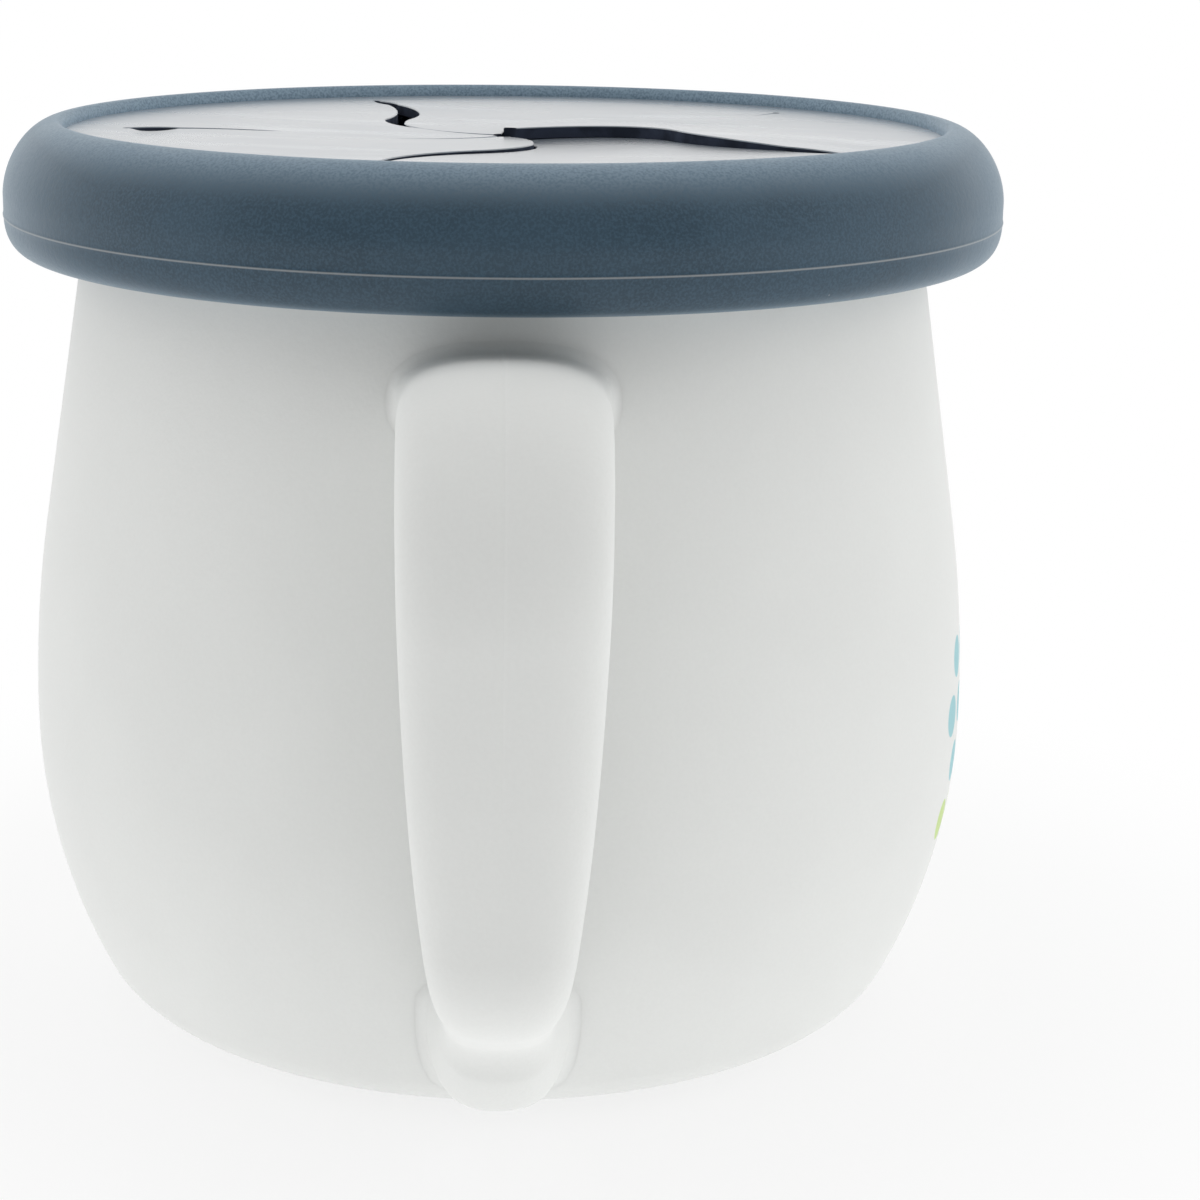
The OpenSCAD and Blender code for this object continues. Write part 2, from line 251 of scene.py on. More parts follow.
class SnackCupStage(bpy.types.PropertyGroup):
    """Camera, floor and lamps. Light is 1 where a white card facing it would look white."""

    aim_z: length(36.8, "Height that the camera looks at")
    distance: length(250, "Distance from the camera to its aim")
    elevation: angle(15.28, "Height of the camera above the horizon")
    azimuth: angle(0.28, "Turn of the camera about the axis, away from straight in front of the handle")
    roll: number(0.0092, "Turn of the camera about its view, in radians")
    lens: number(78.66, "Focal length in millimetres")
    shift_x: number(0.08375, "Sideways shift of the picture")
    floor_size: length(12000, "Side of the floor")
    front_sky: number(0.24, "Light from the camera's side")
    high_sky: number(0.75, "What that light gains higher up")
    back_sky: number(0.66, "Light from behind the object")
    front_mirror: number(0.2, "The camera's side as gloss sees it")
    floor_glow: number(0.7, "Share of the floor's light that is its own")
    floor_level: number(1.42, "Brightness of the lit floor as light")
    left_level: number(0.95, "Brightness of the left lamp")
    right_level: number(1.28, "Brightness of the right lamp")
    top_level: number(0.85, "Brightness of the top lamp")
    back_level: number(0.6, "Brightness of the back lamp")


class SnackCupSettings(bpy.types.PropertyGroup):
    """All settings of the snack cup."""

    body: PointerProperty(type=SnackCupBody)
    handle: PointerProperty(type=SnackCupHandle)
    lid: PointerProperty(type=SnackCupLid)
    flaps: PointerProperty(type=SnackCupFlaps)
    finish: PointerProperty(type=SnackCupFinish)
    stage: PointerProperty(type=SnackCupStage)


# ---------------------------------------------------------------- surfaces


def grid_quads(rows, cols, wrap_rows=False, wrap_cols=False):
    """Four-sided faces of a grid of points stored row by row; a wrapped direction joins last to first."""
    r = np.arange(rows if wrap_rows else rows - 1)[:, None]
    c = np.arange(cols if wrap_cols else cols - 1)[None, :]
    r_next, c_next = (r + 1) % rows, (c + 1) % cols
    corners = (r * cols + c, r * cols + c_next, r_next * cols + c_next, r_next * cols + c)
    return np.stack(np.broadcast_arrays(*corners), -1).reshape(-1, 4)


def fan(pole, ring, turned):
    """Triangles from one pole to a closed ring of point numbers."""
    after = np.roll(ring, -1)
    first, second = (after, ring) if turned else (ring, after)
    return np.stack([np.full(len(ring), pole), first, second], -1)


def capped_tube(grid, poles):
    """Points and faces of a tube of closed rings, each end closed by triangles to a pole."""
    rows, cols = grid.shape[:2]
    count = rows * cols
    ring = np.arange(cols)
    triangles = np.concatenate([fan(count, ring, True), fan(count + 1, count - cols + ring, False)])
    return np.concatenate([grid.reshape(-1, 3), poles]), grid_quads(rows, cols, wrap_cols=True), triangles


def make_piece(name, points, quads, triangles=None, sharp=None):
    """Puts points and faces into a new mesh object, smooth but for edges sharper than the angle sharp."""
    triangles = np.zeros((0, 3), int) if triangles is None else triangles
    corners = np.concatenate([quads.ravel(), triangles.ravel()]).astype(np.int32)
    starts = np.concatenate([np.arange(len(quads)) * 4, len(quads) * 4 + np.arange(len(triangles)) * 3])
    mesh = bpy.data.meshes.new(name)
    mesh.vertices.add(len(points))
    mesh.vertices.foreach_set("co", points.astype(np.float32).ravel())
    mesh.loops.add(len(corners))
    mesh.loops.foreach_set("vertex_index", corners)
    mesh.polygons.add(len(starts))
    mesh.polygons.foreach_set("loop_start", starts.astype(np.int32))
    mesh.update(calc_edges=True)
    mesh.shade_smooth()
    if sharp is not None:
        mesh.set_sharp_from_angle(angle=sharp)
    if mesh.validate():
        raise RuntimeError(f"{name} has faces that aren't valid")
    piece = bpy.data.objects.new(name, mesh)
    bpy.context.scene.collection.objects.link(piece)
    return piece


def revolve(name, profile, turns, closed, start=0.0, sharp=None):
    """Surface of revolution: (r cos a, r sin a, z) for each profile point (r, z) and each of the angles a.

    A closed profile is a ring that goes round its solid anticlockwise. An open one starts and ends on the
    axis, and its two end points become poles.
    """
    a = start + 2 * np.pi * np.arange(turns) / turns
    rows = profile if closed else profile[1:-1]
    r, z = rows[:, :1], rows[:, 1:]
    grid = np.stack([r * np.cos(a), r * np.sin(a), np.broadcast_to(z, (len(rows), turns))], -1)
    if closed:
        quads = grid_quads(len(rows), turns, wrap_rows=True, wrap_cols=True)
        return make_piece(name, grid.reshape(-1, 3), quads, sharp=sharp)
    poles = np.array([[0, 0, profile[0, 1]], [0, 0, profile[-1, 1]]])
    return make_piece(name, *capped_tube(grid, poles), sharp)


def arc(centre, radius, start, end, steps):
    """Points of a circular arc in the profile plane, from the angle start to the angle end."""
    a = np.linspace(start, end, steps + 1)
    return np.array(centre) + radius * np.stack([np.cos(a), np.sin(a)], -1)


def quarter(width, height, power, steps):
    """Quarter of a superellipse, from its top (0, height) to its side (width, 0)."""
    a = np.linspace(0, np.pi / 2, steps + 1)
    return np.stack([width * np.sin(a) ** (2 / power), height * np.cos(a) ** (2 / power)], -1)


def line(start, end, steps):
    """Points of a straight line."""
    t = np.linspace(0, 1, steps + 1)[:, None]
    return (1 - t) * np.array(start) + t * np.array(end)


def lines(*stops):
    """Points of straight lines from stop to stop, each stop with the number of steps that lead to it."""
    pairs = zip(stops[:-1], stops[1:])
    return joined(*(line(start[:2], (x, z), steps) for start, (x, z, steps) in pairs))


def s_bend(start, end, steps):
    """Points from start to end whose radius follows half a cosine wave while the height grows evenly."""
    t = np.linspace(0, 1, steps + 1)
    r = start[0] + (end[0] - start[0]) * (0.5 - 0.5 * np.cos(np.pi * t))
    return np.stack([r, start[1] + (end[1] - start[1]) * t], -1)


def joined(*stretches):
    """One profile from several stretches, without the points that repeat."""
    points = np.concatenate(stretches)
    keep = np.ones(len(points), bool)
    keep[1:] = np.linalg.norm(np.diff(points, axis=0), axis=1) > 1e-7
    return points[keep]


def smooth(t):
    """Smooth step from 0 to 1."""
    t = np.clip(t, 0, 1)
    return t * t * (3 - 2 * t)


def signed_power(value, power):
    """A power of the value's size, with the value's own sign."""
    return np.sign(value) * np.abs(value) ** power


class CupSide:
    """Side of the cup: an arc that lifts the edge of the base, a corner arc, two side arcs that meet at the
    belly, and a straight neck. Each arc runs tangent into the next."""

    def __init__(self, body):
        self.body = body
        self.low_x = CUP_HIGH.x - body.low_curve_r
        self.high_x = CUP_HIGH.x - body.high_curve_r
        step = body.sole_r - body.corner_r
        self.corner_z = body.sole_r - step * math.cos(body.sole_turn)
        reach = body.low_curve_r - body.corner_r
        self.corner_x = self.low_x + math.sqrt(reach**2 - (body.belly_z - self.corner_z) ** 2)
        self.sole_x = self.corner_x - step * math.sin(body.sole_turn)
        self.corner_start = body.sole_turn - math.pi / 2
        self.corner_end = math.atan2(self.corner_z - body.belly_z, self.corner_x - self.low_x)
        self.neck_z = CUP_HIGH.z - body.rim_h - body.rim_blend

    def radius(self, z):
        """Outer radius at the heights z, stretch by stretch."""
        body = self.body
        z = np.maximum(z, 0)

        def side_of(x, centre_z, radius):
            """Outer side of the circle round (x, centre_z)."""
            return x + np.sqrt(np.maximum(radius**2 - (z - centre_z) ** 2, 0))

        top_r = self.high_x + body.high_curve_r * math.cos(body.neck_lean)
        top_z = body.belly_z + body.high_curve_r * math.sin(body.neck_lean)
        side = np.where(z < top_z, side_of(self.high_x, body.belly_z, body.high_curve_r),
                        top_r - (z - top_z) * math.tan(body.neck_lean))
        side = np.where(z < body.belly_z, side_of(self.low_x, body.belly_z, body.low_curve_r), side)
        corner_top = self.corner_z + body.corner_r * math.sin(self.corner_end)
        side = np.where(z < corner_top, side_of(self.corner_x, self.corner_z, body.corner_r), side)
        corner_foot = self.corner_z + body.corner_r * math.sin(self.corner_start)
        return np.where(z < corner_foot, side_of(self.sole_x, body.sole_r, body.sole_r), side)

    def profile(self, inset):
        """Profile from the edge of the floor up to the neck, moved inwards by inset."""
        body = self.body
        neck_top = body.high_curve_r - inset
        top = (self.high_x + neck_top * math.cos(body.neck_lean),
               body.belly_z + neck_top * math.sin(body.neck_lean))
        end_r = top[0] - (self.neck_z - top[1]) * math.tan(body.neck_lean)
        return joined(
            arc((self.sole_x, body.sole_r), body.sole_r - inset, -np.pi / 2, self.corner_start, 16),
            arc((self.corner_x, self.corner_z), body.corner_r - inset, self.corner_start, self.corner_end,
                20),
            arc((self.low_x, body.belly_z), body.low_curve_r - inset, self.corner_end, 0, 36),
            arc((self.high_x, body.belly_z), body.high_curve_r - inset, 0, body.neck_lean, 24),
            line(top, (end_r, self.neck_z), 24),
        )


def cup_profile(body):
    """Whole profile of the cup: base with its ring groove, outer side, rounded rim, inner side and floor."""
    side = CupSide(body)
    outer = side.profile(0)
    inner = side.profile(body.wall)
    rim_z = side.neck_z + body.rim_blend
    rim_r = outer[-1, 0] + body.rim_out
    mouth_r = rim_r - body.rim_t
    top_z = CUP_HIGH.z - body.rim_round
    low, high = body.groove_r - body.groove_w / 2, body.groove_r + body.groove_w / 2
    r = np.linspace(low, high, 13)
    depth = body.groove_h * (0.5 + 0.5 * np.cos(2 * np.pi * (r - body.groove_r) / body.groove_w))
    return joined(
        line((0, 0), (low, 0), 16),
        np.stack([r, depth], -1),
        line((high, 0), tuple(outer[0]), 4),
        outer,
        s_bend(tuple(outer[-1]), (rim_r, rim_z), 10),
        line((rim_r, rim_z), (rim_r, top_z), 6),
        arc((rim_r - body.rim_round, top_z), body.rim_round, 0, np.pi / 2, 8),
        arc((mouth_r + body.rim_round, top_z), body.rim_round, np.pi / 2, np.pi, 8),
        line((mouth_r, top_z), (mouth_r, rim_z), 6),
        s_bend((mouth_r, rim_z), tuple(inner[-1]), 8),
        inner[::-1],
        line(tuple(inner[0]), (0, body.wall), 16),
    )


class HandleSweep:
    """Loop handle: a superellipse carried along a centre line of straight runs and round bends.

    The centre line's heading is piecewise linear in the distance walked, and its place is the running sum of
    the heading's direction. A section point lies at u across and v to the left of the heading.
    """

    def __init__(self, handle, side):
        self.handle = handle
        self.side = side
        start = np.array([float(side.radius(handle.root_z)) - side.body.wall / 2, handle.root_z])
        front = -np.pi / 2 - handle.front_lean
        low = -np.pi + handle.lower_slope
        last = -np.pi + handle.root_slope
        reach = -HANDLE_LOW.y - handle.top_t / 2 - handle.upper_bend_r * (1 + math.sin(handle.upper_rise))
        arm = (reach - start[0]) / math.cos(handle.upper_rise)
        steps = [arm, handle.upper_bend_r * (handle.upper_rise - front), handle.front_len,
                 handle.lower_bend_r * (front - low), handle.lower_arm_len,
                 handle.root_bend_r * (low - last), 2 * handle.root_bend_r]
        self.walk = np.concatenate([[0], np.cumsum(steps)])
        self.turns = np.array([handle.upper_rise, handle.upper_rise, front, front, low, low, last, last])
        self.fine = np.linspace(0, self.walk[-1], WALK_STEPS + 1)
        heading = np.interp(self.fine, self.walk, self.turns)
        middle = (heading[1:] + heading[:-1]) / 2
        step = self.fine[1]
        self.out = start[0] + np.concatenate([[0], np.cumsum(np.cos(middle)) * step])
        self.up = start[1] + np.concatenate([[0], np.cumsum(np.sin(middle)) * step])
        inside = self.out < side.radius(self.up)
        self.low_wall = self.fine[np.argmax(inside & (self.fine > self.walk[4]))]

    def sizes(self, s):
        """Half width and outer and inner half thickness at the distances s: a taper, flared at the roots."""
        h = self.handle
        way = np.clip((s - self.walk[1]) / (self.walk[4] - self.walk[1]), 0, 1)
        taper = h.taper_even * way + (1 - h.taper_even) * way**h.taper_power
        top = np.clip(1 - (s - self.side.body.wall / 2) / h.top_flare_len, 0, 1) ** 2
        low = np.clip(1 - (self.low_wall - s) / h.low_flare_len, 0, 1) ** 2
        half_w = (h.top_w + (h.low_w - h.top_w) * taper) / 2 + h.top_flare * top + h.low_flare * low
        half_t = (h.top_t + (h.low_t - h.top_t) * taper) / 2 + h.top_flare / 3 * top
        return half_w, half_t + h.low_drop * low, half_t + h.low_flare / 3 * low

    def seam(self, u, v, width):
        """Bell curve across the outer side, round the parting line."""
        return np.exp(-((u / width) ** 2)) * (v > 0)

    def points(self, s, a):
        """Surface points at the distances s and section angles a, and the section's outward directions."""
        half_w, outer_t, inner_t = self.sizes(s)
        half_t = np.where(np.sin(a) > 0, outer_t, inner_t)
        share = 2 / self.handle.section_power
        u = half_w * signed_power(np.cos(a), share)
        v = half_t * signed_power(np.sin(a), share)
        heading = np.interp(s, self.walk, self.turns)
        out = np.interp(s, self.fine, self.out)
        up = np.interp(s, self.fine, self.up)
        fade = smooth((self.walk[3] - s) / self.handle.front_len)
        v = v + self.handle.seam_h * self.seam(u, v, self.handle.seam_w) * fade
        place = np.stack([u, -(out - v * np.sin(heading)), up + v * np.cos(heading)], -1)
        n_u = signed_power(np.cos(a), 2 - share) / half_w
        n_v = signed_power(np.sin(a), 2 - share) / half_t
        size = np.hypot(n_u, n_v)
        outward = np.stack([n_u, n_v * np.sin(heading), n_v * np.cos(heading)], -1) / size[..., None]
        return place, outward

    def section_angles(self, count):
        """Section angles: even along the contour, and ten times closer together at the parting line."""
        h = self.handle
        a = np.linspace(0, 2 * np.pi, 20001)
        u = h.top_w / 2 * signed_power(np.cos(a), 2 / h.section_power)
        v = h.top_t / 2 * signed_power(np.sin(a), 2 / h.section_power)
        step = np.hypot(np.diff(u), np.diff(v))
        near = self.seam(u[1:], v[1:], 4 * h.seam_w)
        walked = np.concatenate([[0], np.cumsum(step * (1 + 9 * near))])
        return np.interp(np.arange(count) / count * walked[-1], walked, a)

    def wall_crossing(self, a, s):
        """Distance along the handle at which each section angle a crosses the cup's side, looking along s."""
        place, _ = self.points(*np.broadcast_arrays(s[:, None], a[None, :]))
        gap = np.hypot(place[..., 0], place[..., 1]) - self.side.radius(place[..., 2])
        after = np.argmax(gap > 0, axis=0)
        cols = np.arange(len(a))
        low, high = gap[after - 1, cols], gap[after, cols]
        return s[after - 1] - low / (high - low) * (s[after] - s[after - 1])

    def wall_normal(self, place):
        """Outward normal of the cup's side at points on it."""
        r = np.hypot(place[..., 0], place[..., 1])
        step = 0.05 * MM
        slope = (self.side.radius(place[..., 2] + step) - self.side.radius(place[..., 2] - step)) / (2 * step)
        normal = np.stack([place[..., 0] / r, place[..., 1] / r, -slope], -1)
        return normal / np.linalg.norm(normal, axis=-1, keepdims=True)

    def fillet(self, crossing, a, direction, radius):
        """Rows of a fillet: a quadratic curve from the arm, past its crossing with the wall, along the wall.

        The radius may change with the section angle. The foot sinks a hair into the wall, and one more row
        buries the end.
        """
        radius = np.broadcast_to(radius, a.shape)
        arm, _ = self.points(crossing + direction * radius, a)
        corner, outward = self.points(crossing, a)
        normal = self.wall_normal(corner)
        along = outward - np.sum(outward * normal, -1, keepdims=True) * normal
        along /= np.linalg.norm(along, axis=-1, keepdims=True)
        foot = corner + radius[:, None] * along
        r = np.hypot(foot[:, 0], foot[:, 1])
        sink = 0.02 * MM
        foot[:, :2] *= ((self.side.radius(foot[:, 2]) - sink) / r)[:, None]
        t = np.linspace(0, 1, FILLET_ROWS + 1)[:, None, None]
        curve = (1 - t) ** 2 * foot + 2 * t * (1 - t) * corner + t**2 * arm
        buried = foot - self.side.body.wall / 3 * self.wall_normal(foot)
        return np.concatenate([buried[None], curve])


def handle_surface(handle, body):
    """Points and faces of the handle: buried end, fillet, swept arm, fillet and buried end."""
    sweep = HandleSweep(handle, CupSide(body))
    a = sweep.section_angles(HANDLE_COLUMNS)
    first = sweep.wall_crossing(a, np.linspace(0, sweep.walk[1], 400))
    last = sweep.wall_crossing(a, np.linspace(sweep.walk[-1], sweep.walk[4], 600))
    foot_fillet = handle.low_fillet + handle.foot_fillet * np.maximum(np.sin(a), 0) ** 2
    low, high = first + handle.top_fillet, last - foot_fillet
    t = np.linspace(0, 1, HANDLE_ROWS + 1)[1:-1, None]
    s = low + t * (high - low)
    arm, _ = sweep.points(s, np.broadcast_to(a, s.shape))
    top = sweep.fillet(first, a, 1, handle.top_fillet)
    bottom = sweep.fillet(last, a, -1, foot_fillet)[::-1]
    grid = np.concatenate([top, arm, bottom])
    return capped_tube(grid, np.stack([grid[0].mean(0), grid[-1].mean(0)]))


def lid_radii(lid):
    """Radii of the lid's edge, crest line and mouth."""
    lid_r = RIM_HIGH.x - lid.flash_out
    return lid_r, lid_r - lid.crest_in, lid_r - lid.skirt_t


def rim_profile(lid):
    """Ring profile of the lid's rim, anticlockwise: underside, side with its mould line, crest and bore."""
    lid_r, crest_r, bore_r = lid_radii(lid)
    low_z, crest_z, panel_r = RIM_LOW.z, RIM_HIGH.z, WEB_HIGH.x
    flash = low_z + lid.flash_z
    lower = quarter(lid.under_in, lid.flash_z, lid.lower_power, 30)
    lower = np.stack([lid_r - lid.under_in + lower[:, 0], flash - lower[:, 1]], -1)
    upper = quarter(lid.crest_in, lid.shoulder_h, lid.shoulder_power, 64)[::-1]
    upper = np.array([crest_r, crest_z - lid.shoulder_h]) + upper
    side = line((lid_r, flash), (lid_r, upper[0, 1]), 24)
    inner = quarter(crest_r - panel_r, crest_z - WEB_HIGH.z, 2, 16)
    inner = np.stack([crest_r - inner[:, 0], WEB_HIGH.z + inner[:, 1]], -1)
    outline = joined(lower, side, upper, inner)
    ridge = np.exp(-(((outline[:, 1] - flash) / lid.flash_w) ** 2)) * (outline[:, 0] > crest_r)
    outline[:, 0] += lid.flash_h * ridge
    seal_in = LIP_HIGH.x - lid.seal_t
    return joined(
        arc((bore_r + lid.edge, low_z + lid.edge), lid.edge, np.pi, 1.5 * np.pi, 6),
        outline,
        lines((panel_r, WEB_LOW.z), (seal_in, WEB_LOW.z, 4), (seal_in, CUP_HIGH.z, 2),
              (bore_r, CUP_HIGH.z, 4), (bore_r, low_z + lid.edge, 8)),
    )


def lip_profile(lid):
    """Ring profile of the seal lip, anticlockwise, with a rounded lower end."""
    inner, outer = LIP_HIGH.x - lid.seal_t, LIP_HIGH.x
    low, high = LIP_LOW.z, LIP_HIGH.z
    e = lid.seal_t * 0.3
    return joined(
        arc((inner + e, low + e), e, np.pi, 1.5 * np.pi, 6),
        arc((outer - e, low + e), e, 1.5 * np.pi, 2 * np.pi, 6),
        lines((outer, low + e), (outer, high, 10), (inner, high, 3), (inner, low + e, 10)),
    )


class Slit:
    """One slit from the axis outwards.

    Its heading falls evenly by inner_turn along an arc, rises evenly by outer_turn along the next, and then
    stays; its place is the running sum of the heading's direction.
    """

    def __init__(self, flaps):
        inner = flaps.inner_r * flaps.inner_turn
        outer = flaps.outer_r * flaps.outer_turn
        walk = np.array([0, inner, inner + outer, inner + outer + 4 * flaps.relief])
        end_turn = flaps.outer_turn - flaps.inner_turn
        s = np.linspace(0, walk[-1], SLIT_STEPS + 1)
        heading = np.interp(s, walk, [0, -flaps.inner_turn, end_turn, end_turn])
        middle = (heading[1:] + heading[:-1]) / 2
        x = np.concatenate([[0], np.cumsum(np.cos(middle))]) * s[1]
        y = np.concatenate([[0], np.cumsum(np.sin(middle))]) * s[1]
        self.r = np.hypot(x, y)
        polar = np.unwrap(np.concatenate([[0], np.arctan2(y[1:], x[1:])]))
        end = np.argmin(np.abs(s - walk[2]))
        self.end_r = self.r[end]
        self.polar = polar - polar[end] + flaps.end_angle
        self.lean = heading - polar

    def around(self, r):
        """Direction of the slit's point at distance r, seen from the axis."""
        return np.interp(r, self.r, self.polar)

    def slant(self, r):
        """Angle between the slit and the radius at distance r."""
        return np.interp(r, self.r, self.lean)

    def near_end(self, r, size):
        """Share of the way over the last stretch, as long as size, to the slit's outer end."""
        return np.clip((r - self.end_r + size) / size, 0, 1)


def flap_edges(flaps, slit, r, opening, lens):
    """Angle that a flap's edge lies inside its slit at the distances r.

    The edge is drawn back by half the gap, by opening along the whole slit, by lens near its outer end, and
    round the relief at that end.
    """
    stretch = slit.near_end(r, 0.75 * slit.end_r)
    lens_shape = np.sin(np.pi * slit.near_end(r, flaps.lens_len)) ** 0.7
    drawn = opening * np.sin(np.pi * stretch) ** 0.8 + lens * lens_shape
    relief = np.sqrt(np.maximum(flaps.relief**2 - (r - slit.end_r) ** 2, 0))
    half = np.where(r > slit.end_r, relief, np.maximum(flaps.gap / 2 + drawn, relief))
    return half / (r * np.cos(slit.slant(r)))


def flap_heights(flaps, number, slit, r, b):
    """Height of a flap above the panel.

    Its tip's rise fades towards the root, and each edge may bulge. The first edge may lie sunk along its
    outer half, and more so at the opening by the slit's outer end.
    """
    t = np.clip(r / slit.end_r, 0, 1)
    tip = flaps.tip_rise[number] * (1 - t) ** 1.2
    bulge = flaps.first_bulge[number] * (1 - smooth(b)) + flaps.last_bulge[number] * smooth(b)
    along = 0.4 * smooth((t - 0.55) / 0.12) + 0.6 * np.sin(np.pi * slit.near_end(r, flaps.lens_len))
    sunk = flaps.end_drop[number] * along * smooth((1 - t) / 0.04) * (1 - smooth(4 * b))
    return tip + bulge * np.sin(np.pi * t**1.3) - sunk


def flap_surface(flaps, number):
    """Points and faces of one flap, a closed slab.

    A point at the share b between two slits and the distance r from the axis lies in the direction
    slit(r) + one fifth of a turn times (number + b), less what the slits' width takes from both sides. The
    rows are even from the tip, and finer over the relief at the slit's end. Also returns which of the
    four-sided faces are cut sides.
    """
    slit = Slit(flaps)
    columns = FLAP_COLUMNS
    fifth = 2 * np.pi / FLAPS
    after = (number + 1) % FLAPS
    root_r = slit.end_r + flaps.relief
    fine_r = root_r - 3 * flaps.relief
    even = np.linspace(flaps.tip_r[number], fine_r, FLAP_ROWS - ROOT_ROWS, endpoint=False)
    fine = fine_r + (root_r - fine_r) * np.sin(np.linspace(0, np.pi / 2, ROOT_ROWS))
    r = np.concatenate([even, fine])[:, None]
    b = np.linspace(0, 1, columns + 1)[None, :]
    first = flap_edges(flaps, slit, r, flaps.first_open[number], flaps.lens_w[number])
    last = flap_edges(flaps, slit, r, flaps.last_open[number], flaps.lens_w[after])
    start = fifth * number + flaps.slit_turn[number]
    span = fifth + flaps.slit_turn[after] - flaps.slit_turn[number]
    most = 0.49 * span
    edge = flaps.bevel * smooth((root_r - r) / flaps.relief) / (r * np.cos(slit.slant(r)))

    def sheet(extra, z):
        """Points of the flap's plan at the height z, drawn in at both sides by the angle extra."""
        low = np.minimum(first + extra, most)
        high = span - np.minimum(last + extra, most)
        a = slit.around(r) + start + low + (high - low) * b
        height = z + flap_heights(flaps, number, slit, r, b)
        return np.stack([r * np.cos(a), r * np.sin(a), height], -1)

    top = sheet(edge, WEB_HIGH.z)
    upper = sheet(0, WEB_HIGH.z - flaps.bevel)
    lower = sheet(0, WEB_LOW.z + flaps.bevel)
    under = sheet(edge, WEB_LOW.z)
    loop_parts = (top, upper[:, -1:], lower[:, -1:], under[:, ::-1], lower[:, :1], upper[:, :1])
    grid = np.concatenate(loop_parts, axis=1)
    rows, loop = grid.shape[:2]
    quads = grid_quads(rows, loop, wrap_cols=True)[:, ::-1]
    tip = slab_cap(loop)
    root = slab_cap(loop)[:, ::-1] + (rows - 1) * loop
    column = np.tile(np.arange(loop), rows - 1)
    cut_side = np.isin(column, (columns + 1, columns + 2, loop - 3, loop - 2))
    cut = np.concatenate([cut_side, np.ones(len(tip) + len(root), bool)])
    return grid.reshape(-1, 3), np.concatenate([quads, tip, root]), cut


def slab_cap(loop):
    """Faces that close one end of a slab: top points joined to bottom points, and two side strips."""
    top = np.arange(FLAP_COLUMNS + 1)
    under = 2 * FLAP_COLUMNS + 3 - top
    upper_line = np.concatenate([[loop - 1], top, [FLAP_COLUMNS + 1]])
    lower_line = np.concatenate([[loop - 2], under, [FLAP_COLUMNS + 2]])
    return np.stack([upper_line[:-1], upper_line[1:], lower_line[1:], lower_line[:-1]], -1)


def web_profile(lid, flaps):
    """Ring profile of the fixed web round the flaps, anticlockwise."""
    inner = Slit(flaps).end_r + flaps.relief
    outer = WEB_HIGH.x + lid.tuck
    low, high = WEB_LOW.z, WEB_HIGH.z
    return lines((inner, low), (outer, low, 8), (outer, high, 1), (inner, high, 24), (inner, low, 1))


# ---------------------------------------------------------------- node trees


def spaced(name):
    """A socket's name, from one written with underscores."""
    return name.replace("_", " ")


def fill(socket, value):
    """Links a socket to another node's output, or sets its own value."""
    if isinstance(value, bpy.types.NodeSocket):
        socket.id_data.links.new(value, socket)
    else:
        socket.default_value = value


def put(tree, kind, inputs=None, **options):
    """Adds a shader node to a tree, sets its options, and fills its inputs."""
    made = tree.nodes.new("ShaderNode" + kind)
    for name, value in options.items():
        setattr(made, name, value)
    for name, value in (inputs or {}).items():
        fill(made.inputs[name], value)
    return made


def calc(operation, *values):
    """Output of a Math node, put in the tree that its values come from."""
    tree = next(value.id_data for value in values if isinstance(value, bpy.types.NodeSocket))
    return put(tree, "Math", dict(enumerate(values)), operation=operation).outputs[0]


def times(first, second):
    """Product of two values."""
    return calc("MULTIPLY", first, second)


def remap(value, low, high, to_low=0.0, to_high=1.0, kind="SMOOTHSTEP"):
    """Output of a Map Range node."""
    ends = {"Value": value, "From Min": low, "From Max": high, "To Min": to_low, "To Max": to_high}
    return put(value.id_data, "MapRange", ends, interpolation_type=kind).outputs["Result"]


def spread(tone, low, high, kind="LINEAR"):
    """A tone from -1 to 1, spread evenly from low to high."""
    return remap(tone, -1.0, 1.0, low, high, kind)


def blend_colour(factor, first, second):
    """Output of a Mix node for colours."""
    return put(factor.id_data, "Mix", {0: factor, 6: first, 7: second}, data_type="RGBA").outputs[2]


def noise(vector, scale, **settings):
    """Output of a Noise Texture node."""
    return put(vector.id_data, "TexNoise", {"Vector": vector, "Scale": scale, **settings}).outputs[0]


def axes_of(vector):
    """The three coordinates of a vector."""
    return put(vector.id_data, "SeparateXYZ", {"Vector": vector}).outputs


def stretched(vector, factors):
    """A vector times factors along its three axes."""
    return put(vector.id_data, "VectorMath", {0: vector, 1: factors}, operation="MULTIPLY").outputs[0]


def from_axis(place):
    """Distance of a place from the axis."""
    flat = stretched(place, (1.0, 1.0, 0.0))
    return put(place.id_data, "VectorMath", {0: flat}, operation="LENGTH").outputs["Value"]


def new_group(name, **inputs):
    """A new node group that takes a vector and these numbers; returns its tree and what it is given."""
    tree = bpy.data.node_groups.new(name, "ShaderNodeTree")
    tree.interface.new_socket(name="Vector", in_out="INPUT", socket_type="NodeSocketVector")
    for socket, default in inputs.items():
        made = tree.interface.new_socket(name=spaced(socket), in_out="INPUT", socket_type="NodeSocketFloat")
        made.default_value = default
    return tree, tree.nodes.new("NodeGroupInput").outputs


def close_group(tree, **outputs):
    """Makes a group give these numbers; returns the group."""
    for name in outputs:
        tree.interface.new_socket(name=spaced(name), in_out="OUTPUT", socket_type="NodeSocketFloat")
    leave = tree.nodes.new("NodeGroupOutput")
    for name, value in outputs.items():
        fill(leave.inputs[spaced(name)], value)
    return tree


